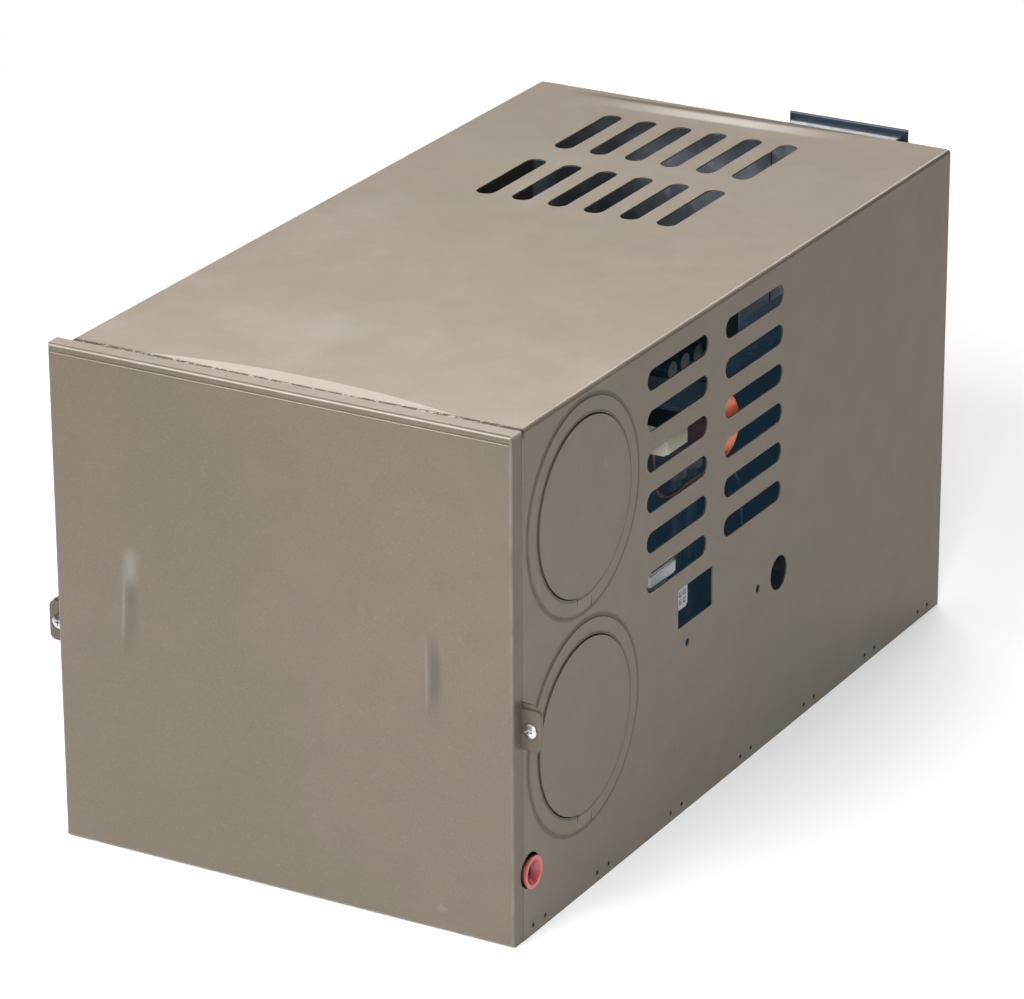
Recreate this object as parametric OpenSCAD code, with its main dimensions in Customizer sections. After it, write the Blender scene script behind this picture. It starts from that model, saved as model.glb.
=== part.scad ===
// Ducted forced air gas furnace: a sheet-steel cabinet that holds a heat exchanger chamber at
// the front and a blower compartment behind it. +Z is up, the front panel faces -Y, and the
// origin is on the floor under the middle of the whole object. Millimetres.

/* [Cabinet] */
// Width of the front panel
cabinet_w = 305; // [300:1:320]
// Distance that the front panel stands out past the left side sheet
panel_overhang = 8.5; // [4:0.5:12]
// Height from the floor to the top sheet
cabinet_h = 312; // [308:1:325]
// Depth from the front panel to the rear sheet
cabinet_d = 562; // [558:1:580]
// Thickness of the cabinet sheet
sheet_t = 1.0; // [0.8:0.1:1.2]
// Inside radius of the cabinet's bends
bend_r = 1.5; // [1:0.1:2.5]
// Depth of the front panel's turned-back edge
panel_lip = 11; // [9:0.5:14]
// Length that the rear duct collar stands out
collar_out = 30; // [24:1:40]

/* [Air slots] */
// Length of each air slot
slot_len = 75; // [60:1:78]
// Width of each air slot
slot_w = 13; // [10:0.5:15]
// Distance from one slot to the next
slot_pitch = 25.2; // [22:0.1:26]
// Slots in each column or row
slot_count = 6; // [4:1:6]

/* [Duct knock-outs] */
// Radius of each knock-out disc
knockout_r = 54; // [45:0.5:54]
// Radius of the pressed ring around the disc
knockout_ring_r = 65; // [60:0.5:65]
// Height that the ring stands proud of the sheet
ring_proud = 0.6; // [0.4:0.1:0.8]
// Height that the disc stands proud of the sheet
disc_proud = 1.4; // [1.2:0.1:1.8]
// Width of the bridge that holds the disc
bridge_w = 17.2; // [8:0.1:20]

/* [Blower] */
// Radius of the room-air wheel
room_wheel_r = 66.5; // [60:0.5:67]
// Width of the room-air wheel
room_wheel_w = 74; // [60:1:75]
// Blades on the room-air wheel
room_blades = 36; // [24:1:40]
// Radius of the combustion-air wheel
comb_wheel_r = 60; // [50:0.5:62]
// Width of the combustion-air wheel
comb_wheel_w = 22; // [16:1:24]
// Blades on the combustion-air wheel
comb_blades = 12; // [8:1:16]
// Radius of the motor can
motor_r = 38; // [34:0.5:40]
// Radius of the motor shaft
shaft_r = 3.97; // [3:0.01:4]

/* [Vent] */
// Outside radius of the exhaust and intake tubes
tube_r = 25.4; // [22:0.1:26]
// Wall of the exhaust and intake tubes
tube_t = 1.2; // [0.8:0.1:1.5]

/* [Hidden] */

paint = [0.55, 0.49, 0.43];
galvanised = [0.72, 0.75, 0.77];
zinc = [0.80, 0.80, 0.78];
dark_steel = [0.35, 0.35, 0.36];
brass = [0.76, 0.62, 0.33];
white_plastic = [0.88, 0.88, 0.84];

// Half widths that most pieces are set from
half_w = cabinet_w / 2;
inner_x = half_w - sheet_t;
// The cabinet is flush with the front panel on the right only
cab_w = cabinet_w - panel_overhang;
cab_x = panel_overhang / 2;
inner_left = cab_x - cab_w / 2 + sheet_t;
inner_top = cabinet_h - sheet_t;
// Step that lets the panel's lip lie flush with the cabinet
joggle = 1.4;
lip_gap = 0.3;
// The divider between the two chambers
bulkhead_d = 157;
// Height of the upturned edges of the base
base_lip = 14;

// Vent tubes and their collar
vent_x = 66;
exhaust_z = 260;
intake_z = 187;
collar_w = 76;
collar_h = 164;
collar_x = vent_x + 1;
collar_z = (exhaust_z + intake_z) / 2;
// Overhang of the outer flange, and of the base flange at its sides and its top
collar_flange = 4;
base_flange = [8, 5.5];
tube_end_d = cabinet_d + collar_out - 8;

// Shaft of the blower
shaft_d = 345;
shaft_z = 135;
room_x = [-122, -36];
comb_x = [46, 80];
motor_x = [-32, 40];
burner_x = 72;
burner_z = 75;

// Gas line
gas_in_d = 21.1;
gas_in_z = 40.2;
gas_hole_d = 19.2;
gas_hole_z = 42;
gas_hole_r = 10.9;
valve_d = 264;
valve_z = 225.5;
pipe_r = 4.8;

// Place along Y of a depth measured from the front face
function y_at(depth) = depth - (cabinet_d + collar_out) / 2;

// A box from its low to its high corner, its middle number a depth
module block(low, high) {
  translate([low[0], y_at(low[1]), low[2]]) cube(high - low);
}

// Round bars along X, along the depth and along Z
module bar_x(x0, x1, depth, z, r) {
  translate([x0, y_at(depth), z]) rotate([0, 90, 0]) cylinder(r = r, h = x1 - x0, $fn = 64);
}
module bar_d(d0, d1, x, z, r) {
  translate([x, y_at(d1), z]) rotate([90, 0, 0]) cylinder(r = r, h = d1 - d0, $fn = 64);
}
module bar_z(z0, z1, x, depth, r) {
  translate([x, y_at(depth), z0]) cylinder(r = r, h = z1 - z0, $fn = 64);
}

// What the right-hand side has, and its like on the left-hand side
module both_sides() {
  children();
  translate([2 * cab_x, 0, 0]) mirror([1, 0, 0]) children();
}

// A slot with round ends, its length along the first axis
module round_slot(len, wid) {
  square([len - wid, wid], center = true);
  for (s = [-1, 1]) translate([s * (len - wid) / 2, 0]) circle(r = wid / 2, $fn = 32);
}

// A flat shape laid on the right-hand side, its first axis along the depth, cut through
// from x0 to x1
module on_side(x0, x1, depth, z) {
  translate([x0, y_at(depth), z]) rotate([90, 0, 90]) linear_extrude(x1 - x0) children();
}

// Section of the wrap, seen from the front: square at the foot, bent at the top corners
module wrap_section(w, h, r) {
  translate([-w / 2, 0]) square([w, h - r]);
  translate([-w / 2 + r, h - r]) square([w - 2 * r, r]);
  for (s = [-1, 1]) translate([s * (w / 2 - r), h - r]) circle(r = r, $fn = 32);
}

// One length of the wrap, set in from the outside by inset
module wrap_length(d0, d1, inset, thick) {
  outer_r = bend_r + sheet_t - inset / 2;
  translate([cab_x, y_at(d1), 0]) rotate([90, 0, 0]) linear_extrude(d1 - d0) difference() {
    wrap_section(cab_w - 2 * inset, cabinet_h - inset, outer_r);
    translate([0, -1])
      wrap_section(cab_w - 2 * (inset + thick), cabinet_h - inset - thick + 1,
        max(outer_r - thick, 0.4));
  }
}

// A sheet across the inside of the wrap, its top corners clear of the bends
module cross_sheet(depth) {
  translate([cab_x, y_at(depth + sheet_t), 0]) rotate([90, 0, 0]) linear_extrude(sheet_t)
    difference() {
      wrap_section(cab_w - 2 * sheet_t, inner_top, bend_r + sheet_t);
      translate([-half_w, -1]) square([cabinet_w, 1 + sheet_t]);
    }
}

// Section of the pressed ring around a knock-out: a shallow plateau with sloped sides
module ring_section(r_in, r_out, low, high, slope) {
  polygon([[r_in, low], [r_out, low], [r_out - slope, high], [r_in, high]]);
}

knockout_d = 81.8;
knockout_z = [cabinet_h - 69.7, cabinet_h - 205.2];

// The pressed ring on the right-hand side, its open ends at the bridge below the disc
module knockout_ring(z, grow) {
  translate([0, y_at(knockout_d), z]) difference() {
    translate([inner_x, 0, 0]) rotate([0, 90, 0]) rotate_extrude($fn = 96)
      ring_section(knockout_r + grow, knockout_ring_r - grow, grow > 0 ? -1 : 0.2,
        sheet_t + ring_proud - (grow > 0 ? sheet_t : 0), 1.2);
    translate([inner_x - 2, -bridge_w / 2 - grow, -knockout_ring_r - 2])
      cube([8, bridge_w + 2 * grow, knockout_ring_r + 2]);
  }
}

// Everything inside the ring is cut away, and the bridge's strip with it
module knockout_cut(z) {
  translate([0, y_at(knockout_d), z]) {
    translate([inner_x - 3, 0, 0]) rotate([0, 90, 0]) cylinder(r = knockout_r, h = 9, $fn = 96);
    translate([inner_x - 3, -bridge_w / 2, -knockout_ring_r]) cube([9, bridge_w, knockout_ring_r]);
  }
}

// The disc, pushed out by more than the sheet's thickness, and the sloped bridge that holds it
module knockout_disc(z) {
  gap = 0.8;
  strip_w = bridge_w - 0.6;
  foot = -knockout_ring_r - 0.5;
  rise = -knockout_r + 4;
  translate([inner_x, y_at(knockout_d), z]) {
    translate([disc_proud, 0, 0]) rotate([0, 90, 0])
      cylinder(r = knockout_r - gap, h = sheet_t, $fn = 96);
    translate([0, strip_w / 2, 0]) rotate([90, 0, 0]) linear_extrude(strip_w)
      polygon([[0, foot], [sheet_t, foot], [sheet_t, foot + 1], [sheet_t + disc_proud - 0.1, rise],
        [disc_proud + 0.1, rise], [0, foot + 1]]);
  }
}

ear_z = 121.2;
ear_h = 25;
ear_out = 12.6;
ear_screw_x = half_w + 5.5;
ear_screw_z = 133.7;
window_d = [197.2, 240.6];
window_z = [cabinet_h - 190, cabinet_h - 165];
side_screw_d = [209.3, 300.7];
side_screw_z = cabinet_h - 202.5;
wire_hole_d = 328.6;
wire_hole_r = 11;
rivet_pair_d = [29.3, 105.3, 196.5, 287.1, 373.5, 459.8, 538.2];
rivet_spread = 14;
rivet_z = 6;
rivet_r = 1.6;

module side_slots() {
  top_slot_z = cabinet_h - 21.1;
  for (depth = [194.9, 292], i = [0 : slot_count - 1])
    on_side(inner_x - 3, half_w + 3, depth, top_slot_z - i * slot_pitch) round_slot(slot_len, slot_w);
}

module top_slots() {
  row_x = -2;
  for (depth = [384.5, 484], i = [0 : slot_count - 1])
    translate([row_x + (i - (slot_count - 1) / 2) * slot_pitch, y_at(depth), inner_top - 3])
      linear_extrude(sheet_t + 6) rotate(90) round_slot(slot_len, slot_w);
}

module rivet_places() {
  for (side = [-1, 1], depth = rivet_pair_d, step = [-0.5, 0.5])
    translate([cab_x + side * cab_w / 2, y_at(depth + step * rivet_spread), rivet_z])
      rotate([0, -90 * side, 0]) children();
}

// The top sheet's front edge is pressed down a little: deepest at the seam, gone behind it
module seam_dent(drop) {
  sink = 0.9;
  half_len = 117;
  run = 15;
  big_r = (half_len * half_len + sink * sink) / (2 * sink);
  translate([8, y_at(panel_lip + lip_gap), cabinet_h - sink - drop])
    rotate([atan(sink / run), 0, 0]) translate([0, run + 3, big_r]) rotate([90, 0, 0])
      cylinder(r = big_r, h = run + 4, $fn = 2400);
}

module cabinet_wrap() {
  color(paint) difference() {
    union() {
      for (z = knockout_z) both_sides() knockout_ring(z, 0);
      wrap_length(panel_lip + lip_gap, cabinet_d, 0, sheet_t);
      wrap_length(panel_lip + lip_gap, panel_lip + lip_gap + sheet_t, 0, joggle + sheet_t);
      wrap_length(2.5, panel_lip + lip_gap + sheet_t, joggle, sheet_t);
      intersection() {
        block([-130, panel_lip + lip_gap + 0.2, inner_top - 3], [140, 30, inner_top + 0.01]);
        seam_dent(sheet_t);
      }
    }
    seam_dent(0);
    for (z = knockout_z) both_sides() {
      knockout_ring(z, 1);
      knockout_cut(z);
    }
    both_sides() {
      side_slots();
      // Slit that the welded ear comes out through
      block([inner_x - 3, panel_lip + lip_gap, ear_z + 0.5],
        [half_w + 1, panel_lip + lip_gap + 1.6, ear_z + ear_h + 3.5]);
    }
    top_slots();
    block([inner_x - 3, window_d[0], window_z[0]], [half_w + 3, window_d[1], window_z[1]]);
    for (depth = side_screw_d) bar_x(inner_x - 3, half_w + 3, depth, side_screw_z, 2.5);
    bar_x(inner_x - 3, half_w + 3, wire_hole_d, side_screw_z, wire_hole_r);
    bar_x(inner_x - 3, half_w + 3, gas_hole_d, gas_hole_z, gas_hole_r);
    // The joggled front edge stops short of the panel's lower lip
    block([-half_w, 0, -1], [half_w, panel_lip + lip_gap, joggle + 0.6]);
    rivet_places() translate([0, 0, -1]) cylinder(r = rivet_r, h = 4, $fn = 24);
  }
  color(paint) for (z = knockout_z) both_sides() knockout_disc(z);
}

module base_pan() {
  color(galvanised) difference() {
    union() {
      block([inner_left, 14, 0], [inner_x, cabinet_d, sheet_t]);
      both_sides() block([inner_x - sheet_t, 14, 0], [inner_x, cabinet_d - 14, base_lip]);
      // Joggled front edge that the panel's lower lip passes under
      block([inner_left + joggle, 14, 0], [inner_x - joggle, 15, joggle + 0.6 + sheet_t]);
      block([inner_left + joggle, 2.5, joggle + 0.6],
        [inner_x - joggle, 15, joggle + 0.6 + sheet_t]);
    }
    rivet_places() translate([0, 0, -1]) cylinder(r = rivet_r, h = 6, $fn = 24);
  }
}

module base_rivets() {
  color(dark_steel) rivet_places() difference() {
    union() {
      cylinder(r = rivet_r, h = 2 * sheet_t, $fn = 24);
      translate([0, 0, 2 * sheet_t]) cylinder(r = 2.6, h = 0.8, $fn = 24);
    }
    translate([0, 0, -1]) cylinder(r = 0.9, h = 2.4, $fn = 24);
  }
}

module collar_cutout(d0, d1, grow) {
  block([collar_x - collar_w / 2 - grow[0], d0, collar_z - collar_h / 2 - grow[1]],
    [collar_x + collar_w / 2 + grow[0], d1, collar_z + collar_h / 2 + grow[1]]);
}

module collar_screw_places() {
  for (sx = [-1, 1], sz = [-1, 1])
    translate([collar_x + sx * (collar_w / 2 + base_flange[0] / 2 - 0.2), y_at(cabinet_d),
      collar_z + sz * collar_h * 0.3]) rotate([-90, 0, 0]) children();
}

module rear_panel() {
  color(galvanised) difference() {
    union() {
      cross_sheet(cabinet_d - sheet_t);
      both_sides() block([inner_x - sheet_t, cabinet_d - 12, base_lip + 2],
        [inner_x, cabinet_d, inner_top - 3]);
      block([inner_left + 3, cabinet_d - 12, inner_top - sheet_t], [inner_x - 3, cabinet_d, inner_top]);
    }
    collar_cutout(cabinet_d - 6, cabinet_d + 1, [0, 0]);
    collar_screw_places() translate([0, 0, -3]) cylinder(r = 1.6, h = 6, $fn = 24);
  }
}

// The panel's shape before it is hollowed: front edges bent to a radius, set in by inset
module panel_form(inset, reach) {
  r = bend_r + sheet_t - inset;
  low_z = 0.4 + inset;
  high_z = cabinet_h - inset;
  intersection() {
    translate([-half_w + inset, y_at(inset), 0]) rotate([90, 0, 90])
      linear_extrude(cabinet_w - 2 * inset)
        translate([0, low_z]) union() {
          translate([r, 0]) square([reach - r, high_z - low_z]);
          translate([0, r]) square([reach, high_z - low_z - 2 * r]);
          for (z = [r, high_z - low_z - r]) translate([r, z]) circle(r = r, $fn = 32);
        }
    translate([0, y_at(inset), low_z]) linear_extrude(high_z - low_z) union() {
      translate([-half_w + inset, r]) square([cabinet_w - 2 * inset, reach - r]);
      translate([-half_w + inset + r, 0]) square([cabinet_w - 2 * (inset + r), reach]);
      for (s = [-1, 1]) translate([s * (half_w - inset - r), r]) circle(r = r, $fn = 32);
    }
  }
}

// Shallow vertical pressing: a slice of a large turned shape, sunk into the front face
module press_mark(x, sink) {
  mark_h = 62;
  mark_w = 18;
  swing_r = (mark_h * mark_h / 4 + sink * sink) / (2 * sink);
  crown_r = (mark_w * mark_w / 4 + sink * sink) / (2 * sink);
  translate([x, y_at(0) - swing_r + sink, cabinet_h - 154]) rotate([0, 90, 0])
    rotate_extrude($fn = 360) intersection() {
      translate([swing_r - crown_r, 0]) circle(r = crown_r, $fn = 180);
      translate([swing_r - 3, -mark_w]) square([6, 2 * mark_w]);
    }
}

module ear_outline(w, h, r) {
  square([w - r, h]);
  translate([0, r]) square([w, h - 2 * r]);
  for (z = [r, h - r]) translate([w - r, z]) circle(r = r, $fn = 32);
}

mark_x = [-102, 101];
mark_sink = 1.1;
// Centre line and radius of the fine line under the panel's top edge
hem_d = -0.3;
hem_z = cabinet_h - 4.7;
hem_r = 0.9;

module front_panel() {
  color(paint) difference() {
    union() {
      difference() {
        panel_form(0, panel_lip);
        panel_form(sheet_t, panel_lip + 2);
      }
      // The sheet keeps its thickness behind the pressings and the hem's line
      intersection() {
        block([-130, 0.5, 110], [130, 4, 200]);
        for (x = mark_x) translate([0, sheet_t, 0]) press_mark(x, mark_sink);
      }
      bar_x(-half_w + 2, half_w - 2, hem_d + sheet_t, hem_z, hem_r);
      for (side = [0, 1]) mirror([side, 0, 0])
        translate([half_w - sheet_t, y_at(panel_lip), ear_z]) rotate([90, 0, 0])
          linear_extrude(sheet_t) ear_outline(ear_out + sheet_t, ear_h, 4);
    }
    for (s = [-1, 1]) bar_d(panel_lip - 3, panel_lip + 1, s * ear_screw_x, ear_screw_z, 2.2);
    for (x = mark_x) press_mark(x, mark_sink);
    bar_x(-half_w + 2, half_w - 2, hem_d, hem_z, hem_r);
    // Notch round the gas inlet
    bar_x(inner_x - 3, half_w + 3, gas_hole_d, gas_hole_z, gas_hole_r + 0.3);
  }
}

// An ear that is welded inside the side sheet and comes out through a slit; it meets the
// panel's own ear, which stands further off on the left
module cabinet_ear(extra) {
  ear_d = panel_lip + lip_gap + 0.2;
  ear_t = 1.2;
  difference() {
    union() {
      translate([inner_x - 1.4, y_at(ear_d + ear_t), ear_z + 1]) rotate([90, 0, 0])
        linear_extrude(ear_t) ear_outline(ear_out + sheet_t + 1.0 + extra, ear_h + 2, 8);
      block([inner_x - 1.4 - ear_t, ear_d, ear_z + 1],
        [inner_x - 1.4, ear_d + 18, ear_z + ear_h + 3]);
    }
    bar_d(ear_d - 1, ear_d + 3, ear_screw_x + extra, ear_screw_z, 2.6);
  }
}

module cabinet_ears() {
  color(dark_steel) {
    cabinet_ear(0);
    translate([2 * cab_x, 0, 0]) mirror([1, 0, 0]) cabinet_ear(panel_overhang);
  }
}

module panel_screws() {
  head_r = 4.5;
  color(zinc) for (s = [-1, 1]) translate([s * ear_screw_x, y_at(panel_lip - sheet_t), ear_screw_z])
    rotate([90, 0, 0]) difference() {
      union() {
        // Domed head
        intersection() {
          translate([0, 0, -4.6]) sphere(r = 7.3, $fn = 64);
          cylinder(r = head_r, h = 3, $fn = 48);
        }
        translate([0, 0, -8]) cylinder(r = 2.1, h = 8.5, $fn = 32);
      }
      // Cross recess
      for (a = [0, 90]) rotate(a) translate([-2.4, -0.5, 1.2]) cube([4.8, 1, 3]);
    }
}

module bulkhead() {
  color(galvanised) difference() {
    union() {
      cross_sheet(bulkhead_d);
      both_sides() block([inner_x - sheet_t, bulkhead_d - 7, base_lip + 2],
        [inner_x, bulkhead_d + sheet_t, inner_top - 3]);
    }
    // The base's upturned edges pass the lower corners
    both_sides() block([inner_x - 1.3, bulkhead_d - 8, 0],
      [inner_x + 1, bulkhead_d + 2, base_lip + 0.3]);
    block([room_x[0] + 1.2, bulkhead_d - 8, scroll_low(room_wheel_r, room_gap) + 1.2],
      [room_x[1] - 1.2, bulkhead_d + 2, scroll_low(room_wheel_r, room_gap) + duct_h(room_wheel_r,
        room_gap) - 1.2]);
    bar_d(bulkhead_d - 1, bulkhead_d + 3, vent_x, exhaust_z, tube_r);
    bar_d(bulkhead_d - 1, bulkhead_d + 3, burner_x, burner_z, 15);
    bar_d(bulkhead_d - 1, bulkhead_d + 3, gas_pipe_x, gas_in_z, pipe_r);
    bar_d(bulkhead_d - 1, bulkhead_d + 3, 0, 200, 8);
  }
}

module vent_collar() {
  flange_t = 1.0;
  far_d = cabinet_d + collar_out;
  color(galvanised) difference() {
    union() {
      collar_cutout(cabinet_d - 6, far_d, [0, 0]);
      collar_cutout(cabinet_d, cabinet_d + flange_t, base_flange);
      collar_cutout(far_d - 1.2, far_d, [collar_flange, collar_flange]);
    }
    collar_cutout(cabinet_d - 7, far_d + 1, [-flange_t, -flange_t]);
    collar_screw_places() translate([0, 0, -3]) cylinder(r = 1.6, h = 6, $fn = 24);
  }
}

module collar_screws() {
  color(zinc) collar_screw_places() {
    translate([0, 0, -6]) cylinder(r = 1.6, h = 7.5, $fn = 24);
    translate([0, 0, 1]) cylinder(r = 3.2, h = 2, $fn = 32);
  }
}

module vent_tube(d0, d1, z) {
  difference() {
    bar_d(d0, d1, vent_x, z, tube_r);
    bar_d(d0 - 1, d1 + 1, vent_x, z, tube_r - tube_t);
  }
}

exchanger_d = 86;
exchanger_t = 1.2;
chamber_r = 38;
pass_r = 15;
pass_z = [140, 180, 220, 260];
pass_x = 92;
flue_end_d = exchanger_d + 28;

module exhaust_tube() {
  color(galvanised) vent_tube(flue_end_d, tube_end_d, exhaust_z);
}

intake_start_d = 462;
module intake_tube() {
  color(galvanised) vent_tube(intake_start_d, tube_end_d, intake_z);
}

// A pass of the heat exchanger: a tube along X with coned ends
module pass(z, r, reach, cone) {
  bar_x(-reach, reach, exchanger_d, z, r);
  for (side = [0, 1]) mirror([side, 0, 0])
    translate([reach, y_at(exchanger_d), z]) rotate([0, 90, 0])
      cylinder(r1 = r, r2 = r - cone, h = cone, $fn = 64);
}

// The gas passage of the heat exchanger: a wide chamber below and four passes above it,
// joined at alternate ends. grow adds the wall's thickness.
module passage(grow) {
  pass(burner_z, chamber_r + grow, pass_x - 6, 14);
  for (i = [0 : len(pass_z) - 1]) {
    pass(pass_z[i], pass_r + grow, pass_x, 7);
    bar_z(i == 0 ? burner_z + chamber_r / 2 : pass_z[i - 1], pass_z[i],
      (i % 2 == 0 ? -1 : 1) * (pass_x - 16), exchanger_d, pass_r - 2 + grow);
  }
}

// Flat seam around the passage, where the two stampings are folded together
module seam(d0, d1) {
  seam_w = 8;
  reach = pass_x + 7 + seam_w;
  block([-reach, d0, burner_z - chamber_r - seam_w], [reach, d1, pass_z[3] + pass_r + seam_w]);
}

// One stamping: the wall around its half of the passage, and its half of the seam
module stamping(d_seam0, d_seam1, d_low, d_high) {
  difference() {
    union() {
      seam(d_seam0, d_seam1);
      intersection() {
        passage(exchanger_t);
        block([-200, d_low, 0], [200, d_high, 312]);
      }
    }
    passage(0);
  }
}

module heat_exchanger_front() {
  color(dark_steel)
    stamping(exchanger_d - exchanger_t, exchanger_d, exchanger_d - 60, exchanger_d);
}

module heat_exchanger_rear() {
  color(dark_steel) difference() {
    union() {
      stamping(exchanger_d, exchanger_d + exchanger_t, exchanger_d, exchanger_d + 60);
      difference() {
        bar_d(exchanger_d + 1, flue_end_d + 12, vent_x, exhaust_z, tube_r + exchanger_t);
        passage(0);
      }
    }
    bar_d(exchanger_d - 1, flue_end_d, vent_x, exhaust_z, pass_r - 2);
    bar_d(exchanger_d + 16, flue_end_d + 13, vent_x, exhaust_z, tube_r);
    bar_d(exchanger_d + 1, exchanger_d + 60, burner_x, burner_z, 15);
  }
}

burner_box_d = [bulkhead_d + sheet_t, bulkhead_d + sheet_t + 42];
burner_box_x = [46, 98];
burner_box_z = [46, 104];

module burner() {
  color(dark_steel) difference() {
    union() {
      bar_d(exchanger_d + 8, burner_box_d[0] + 14, burner_x, burner_z, 15);
      bar_d(burner_box_d[0], burner_box_d[0] + 2, burner_x, burner_z, 21);
    }
    bar_d(exchanger_d + 12, burner_box_d[0] + 15, burner_x, burner_z, 13.8);
    // Flame ports through the closed nose
    for (a = [0 : 60 : 300]) bar_d(exchanger_d + 7, exchanger_d + 13,
      burner_x + 8 * cos(a), burner_z + 8 * sin(a), 2.4);
    bar_d(exchanger_d + 7, exchanger_d + 13, burner_x, burner_z, 2.4);
  }
}

module burner_box() {
  wall = 1.2;
  color(galvanised) difference() {
    block([burner_box_x[0], burner_box_d[0], burner_box_z[0]],
      [burner_box_x[1], burner_box_d[1], burner_box_z[1]]);
    block([burner_box_x[0] + wall, burner_box_d[0] - 1, burner_box_z[0] + wall],
      [burner_box_x[1] - wall, burner_box_d[1] - wall, burner_box_z[1] - wall]);
    // Mouth of the combustion-air duct, electrode hole and orifice hole
    block([comb_x[0] + 1.2, burner_box_d[1] - 3, scroll_low(comb_wheel_r, comb_gap) + 1.2],
      [comb_x[1] - 1.2, burner_box_d[1] + 1, burner_box_z[0] + 40]);
    bar_z(burner_box_z[1] - 3, burner_box_z[1] + 1, 86, outlet_d, 3.5);
    bar_x(burner_box_x[1] - 3, burner_box_x[1] + 1, outlet_d, burner_z, 5);
  }
}

module electrode() {
  color(white_plastic)
    bar_z(burner_box_z[1] - 12, burner_box_z[1] + 16, 86, outlet_d, 3.5);
  color(dark_steel) bar_z(burner_box_z[1] - 21, burner_box_z[1] - 12, 86, outlet_d, 0.8);
}

outlet_d = burner_box_d[0] + 24;
elbow_r = 7;

module gas_orifice() {
  color(brass) difference() {
    union() {
      bar_x(burner_box_x[1] - 16, manifold_x - elbow_r, outlet_d, burner_z, 5);
      translate([burner_box_x[1] + 4, y_at(outlet_d), burner_z]) rotate([0, 90, 0])
        cylinder(r = 8, h = 6, $fn = 6);
      // Elbow that takes the end of the manifold
      block([manifold_x - elbow_r, outlet_d - elbow_r, burner_z - elbow_r],
        [manifold_x + elbow_r, outlet_d + elbow_r, burner_z + elbow_r]);
    }
    bar_x(burner_box_x[1] - 17, burner_box_x[1] + 4, outlet_d, burner_z, 1.2);
    bar_x(burner_box_x[1] + 3, manifold_x + 1, outlet_d, burner_z, 3.2);
    bar_d(outlet_d, outlet_d + elbow_r + 1, manifold_x, burner_z, 3.2);
  }
}

// A quarter bend of tube about the origin, from the first axis to the second
module quarter_bend(bend, r) {
  rotate_extrude(angle = 90, $fn = 64) translate([bend, 0]) circle(r = r, $fn = 24);
}

manifold_x = 118;
manifold_bend = 12;
valve_x = [104.2, 134];

module gas_manifold() {
  down_d = valve_d - 8;
  color(dark_steel) {
    bar_z(burner_z + manifold_bend, valve_z - 33, manifold_x, down_d, pipe_r);
    translate([manifold_x, y_at(down_d - manifold_bend), burner_z + manifold_bend])
      rotate([0, 90, 0]) quarter_bend(manifold_bend, pipe_r);
    bar_d(outlet_d + elbow_r, down_d - manifold_bend, manifold_x, burner_z, pipe_r);
  }
}

module gas_valve() {
  color([0.62, 0.63, 0.64]) difference() {
    union() {
      block([valve_x[0], valve_d - 22, valve_z - 20], [valve_x[1] - 4, valve_d + 22, valve_z + 17]);
      bar_x(valve_x[1] - 4, valve_x[1], valve_d, valve_z, 16);
      bar_z(valve_z - 33, valve_z - 20, manifold_x, valve_d - 8, 8);
      bar_z(valve_z - 33, valve_z - 20, manifold_x, valve_d + 12, 8);
      bar_d(valve_d - 26, valve_d - 22, manifold_x, valve_z + 10, 6);
    }
    for (s = [-1, 1], z = [-16.5, 13.5]) bar_x(valve_x[1] - 12, valve_x[1], valve_d + s * 18.5,
      valve_z + z, 1.6);
  }
}

module solenoid_coils() {
  color([0.86, 0.33, 0.22]) difference() {
    union() {
      bar_x(valve_x[1], valve_x[1] + 12.5, valve_d, valve_z, 20);
      bar_x(valve_x[1] + 12.5, valve_x[1] + 14, valve_d, valve_z, 18);
    }
    bar_x(valve_x[1] + 4, valve_x[1] + 15, valve_d, valve_z, 5);
  }
}

gas_pipe_x = manifold_x;
pipe_bend = 14;

module gas_pipe() {
  up_d = valve_d + 12;
  color(dark_steel) {
    bar_d(gas_in_d + 9, up_d - pipe_bend, gas_pipe_x, gas_in_z, pipe_r);
    translate([gas_pipe_x, y_at(up_d - pipe_bend), gas_in_z + pipe_bend])
      rotate([0, 90, 0]) quarter_bend(pipe_bend, pipe_r);
    bar_z(gas_in_z + pipe_bend, valve_z - 33, gas_pipe_x, up_d, pipe_r);
  }
}

module inlet_fitting() {
  color(brass) difference() {
    union() {
      block([gas_pipe_x - 9, gas_in_d - 9, gas_in_z - 9],
        [gas_pipe_x + 11, gas_in_d + 9, gas_in_z + 9]);
      bar_x(gas_pipe_x + 11, half_w - 2, gas_in_d, gas_in_z, 8);
    }
    bar_x(gas_pipe_x, half_w, gas_in_d, gas_in_z, 5.2);
    bar_d(gas_in_d, gas_in_d + 10, gas_pipe_x, gas_in_z, 3.2);
  }
}

// Push-in cap: a hollow stem in the fitting's bore, and a dished rim outside the sheet
module inlet_cap() {
  rim_r = 9.9;
  dish_r = 7.6;
  stem_r = 5.1;
  face_x = half_w + 1.5;
  color([0.90, 0.36, 0.32]) difference() {
    union() {
      bar_x(half_w - 9, half_w - 1.8, gas_in_d, gas_in_z, stem_r);
      bar_x(half_w - 1.8, half_w + 0.3, gas_in_d, gas_in_z, 6.9);
      bar_x(half_w + 0.3, face_x, gas_in_d, gas_in_z, rim_r);
    }
    // The dish narrows into the stem
    translate([face_x - 4.5, y_at(gas_in_d), gas_in_z]) rotate([0, 90, 0])
      cylinder(r1 = stem_r - 1.4, r2 = dish_r, h = 4.5 + 0.001, $fn = 64);
    bar_x(half_w - 8, face_x - 4, gas_in_d, gas_in_z, stem_r - 1.4);
  }
}

// Spiral casing of a blower, in its own plane: the wheel turns so that air leaves the foot
// of the casing towards the front.
room_gap = [8, 38];
comb_gap = [7, 26];
cutoff = -140;
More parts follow.
